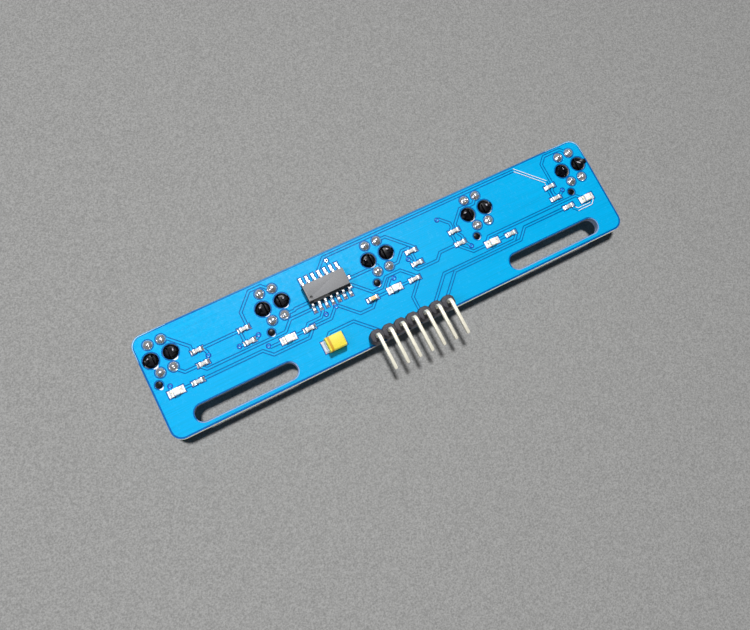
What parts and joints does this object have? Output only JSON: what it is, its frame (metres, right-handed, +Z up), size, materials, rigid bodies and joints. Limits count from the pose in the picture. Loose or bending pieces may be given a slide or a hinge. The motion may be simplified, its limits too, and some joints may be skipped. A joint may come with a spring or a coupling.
{
  "type": "reflective line sensor board",
  "caption": "Long slotted circuit board with a row of downward-facing infrared reflective sensors, indicator lights, a comparator and a right-angle pin header.",
  "frame": {"origin": "midway between the two mounting slots, on the board's underside", "axes": "+X along the board and along the slots, +Y from the header's edge towards the sensors' edge, +Z up, out of the component side"},
  "size_m": [0.097, 0.0267, 0.0132],
  "materials": {
    "board_laminate": "pale cream glass-fibre laminate, sawn and routed edge",
    "copper_foil": "etched copper foil and plated holes",
    "solder_mask": "bright blue semi-gloss solder mask",
    "sensor_plastic": "black moulded thermoplastic, fine matt texture",
    "emitter_epoxy": "clear epoxy with a pale blue tint, polished dome",
    "detector_epoxy": "near-black infrared-passing epoxy, polished dome",
    "tinned_leads": "matt tin plating",
    "solder": "bright cooled solder with soft ripples",
    "header_plastic": "black glass-filled thermoplastic, satin",
    "pin_plating": "pale flash-gold plating, satin",
    "capacitor_ceramic": "tan fired ceramic",
    "resistor_glaze": "pale grey glazed ceramic",
    "indicator_substrate": "white laminate",
    "indicator_lens": "milky white moulded epoxy",
    "terminal_gold": "gold-flashed terminal",
    "chip_epoxy": "dark grey moulding compound, fine matt grain",
    "tantalum_epoxy": "yellow moulded epoxy, satin, with an orange polarity bar"
  },
  "bodies": {
    "root": {"ceramic_capacitor": "capacitor_ceramic", "chip_end_caps": "tinned_leads", "circuit_board": "board_laminate", "copper_bottom": "copper_foil", "copper_top": "copper_foil", "detector_1": "detector_epoxy", "detector_2": "detector_epoxy", "detector_3": "detector_epoxy", "detector_4": "detector_epoxy", "detector_5": "detector_epoxy", "emitter_1": "emitter_epoxy", "emitter_2": "emitter_epoxy", "emitter_3": "emitter_epoxy", "emitter_4": "emitter_epoxy", "emitter_5": "emitter_epoxy", "emitter_resistor_1": "resistor_glaze", "emitter_resistor_2": "resistor_glaze", "emitter_resistor_3": "resistor_glaze", "emitter_resistor_4": "resistor_glaze", "emitter_resistor_5": "resistor_glaze", "header_base": "header_plastic", "header_pins": "pin_plating", "header_solder": "solder", "ic_body": "chip_epoxy", "ic_leads": "tinned_leads", "indicator_base_1": "indicator_substrate", "indicator_base_2": "indicator_substrate", "indicator_base_3": "indicator_substrate", "indicator_base_4": "indicator_substrate", "indicator_base_5": "indicator_substrate", "indicator_lenses": "indicator_lens", "indicator_resistor_1": "resistor_glaze", "indicator_resistor_2": "resistor_glaze", "indicator_resistor_3": "resistor_glaze", "indicator_resistor_4": "resistor_glaze", "indicator_resistor_5": "resistor_glaze", "indicator_terminals": "terminal_gold", "load_resistor_1": "resistor_glaze", "load_resistor_2": "resistor_glaze", "load_resistor_3": "resistor_glaze", "load_resistor_4": "resistor_glaze", "load_resistor_5": "resistor_glaze", "plated_barrels": "copper_foil", "sensor_housing_1": "sensor_plastic", "sensor_housing_2": "sensor_plastic", "sensor_housing_3": "sensor_plastic", "sensor_housing_4": "sensor_plastic", "sensor_housing_5": "sensor_plastic", "sensor_leads_1": "tinned_leads", "sensor_leads_2": "tinned_leads", "sensor_leads_3": "tinned_leads", "sensor_leads_4": "tinned_leads", "sensor_leads_5": "tinned_leads", "sensor_solder": "solder", "smd_solder": "solder", "solder_mask_bottom": "solder_mask", "solder_mask_top": "solder_mask", "tantalum_case": "tantalum_epoxy", "tantalum_terminals": "tinned_leads"}
  },
  "joints": []
}
